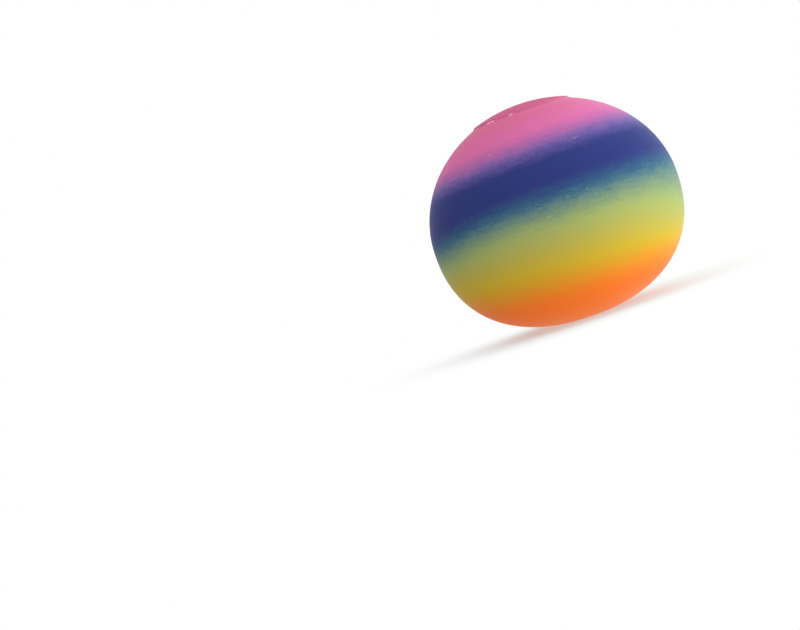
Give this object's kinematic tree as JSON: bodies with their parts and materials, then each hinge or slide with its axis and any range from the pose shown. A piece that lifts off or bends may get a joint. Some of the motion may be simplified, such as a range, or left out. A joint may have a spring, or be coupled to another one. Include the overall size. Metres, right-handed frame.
{
  "type": "dough-filled stress ball",
  "caption": "Palm-sized squeeze ball: a soft rubber skin sprayed in rainbow bands, filled with dough and closed by a glued plug cap, that presses flat and springs back.",
  "frame": {"origin": "centre of the flat that the ball rests on", "axes": "+Z along the ball's axis, from the orange end that it rests on to the pink end with the cap; X and Y are free, because the ball is turned about Z"},
  "size_m": [0.052, 0.052, 0.0455],
  "materials": {
    "sprayed_skin": "matte",
    "dough": "matte",
    "cap_paint": "satin",
    "glue": "gloss"
  },
  "bodies": {
    "ball": {"skin": "sprayed_skin", "dough": "dough"},
    "cap": {"cap": "cap_paint", "glue_ring": "glue"}
  },
  "joints": [
    {"name": "squeeze", "type": "slide", "parent": "ball", "child": "cap", "axis": [0, 0, -1], "range_m": [0, 0.018], "stiffness_N_per_m": 750, "deforming": ["skin", "dough"]}
  ]
}
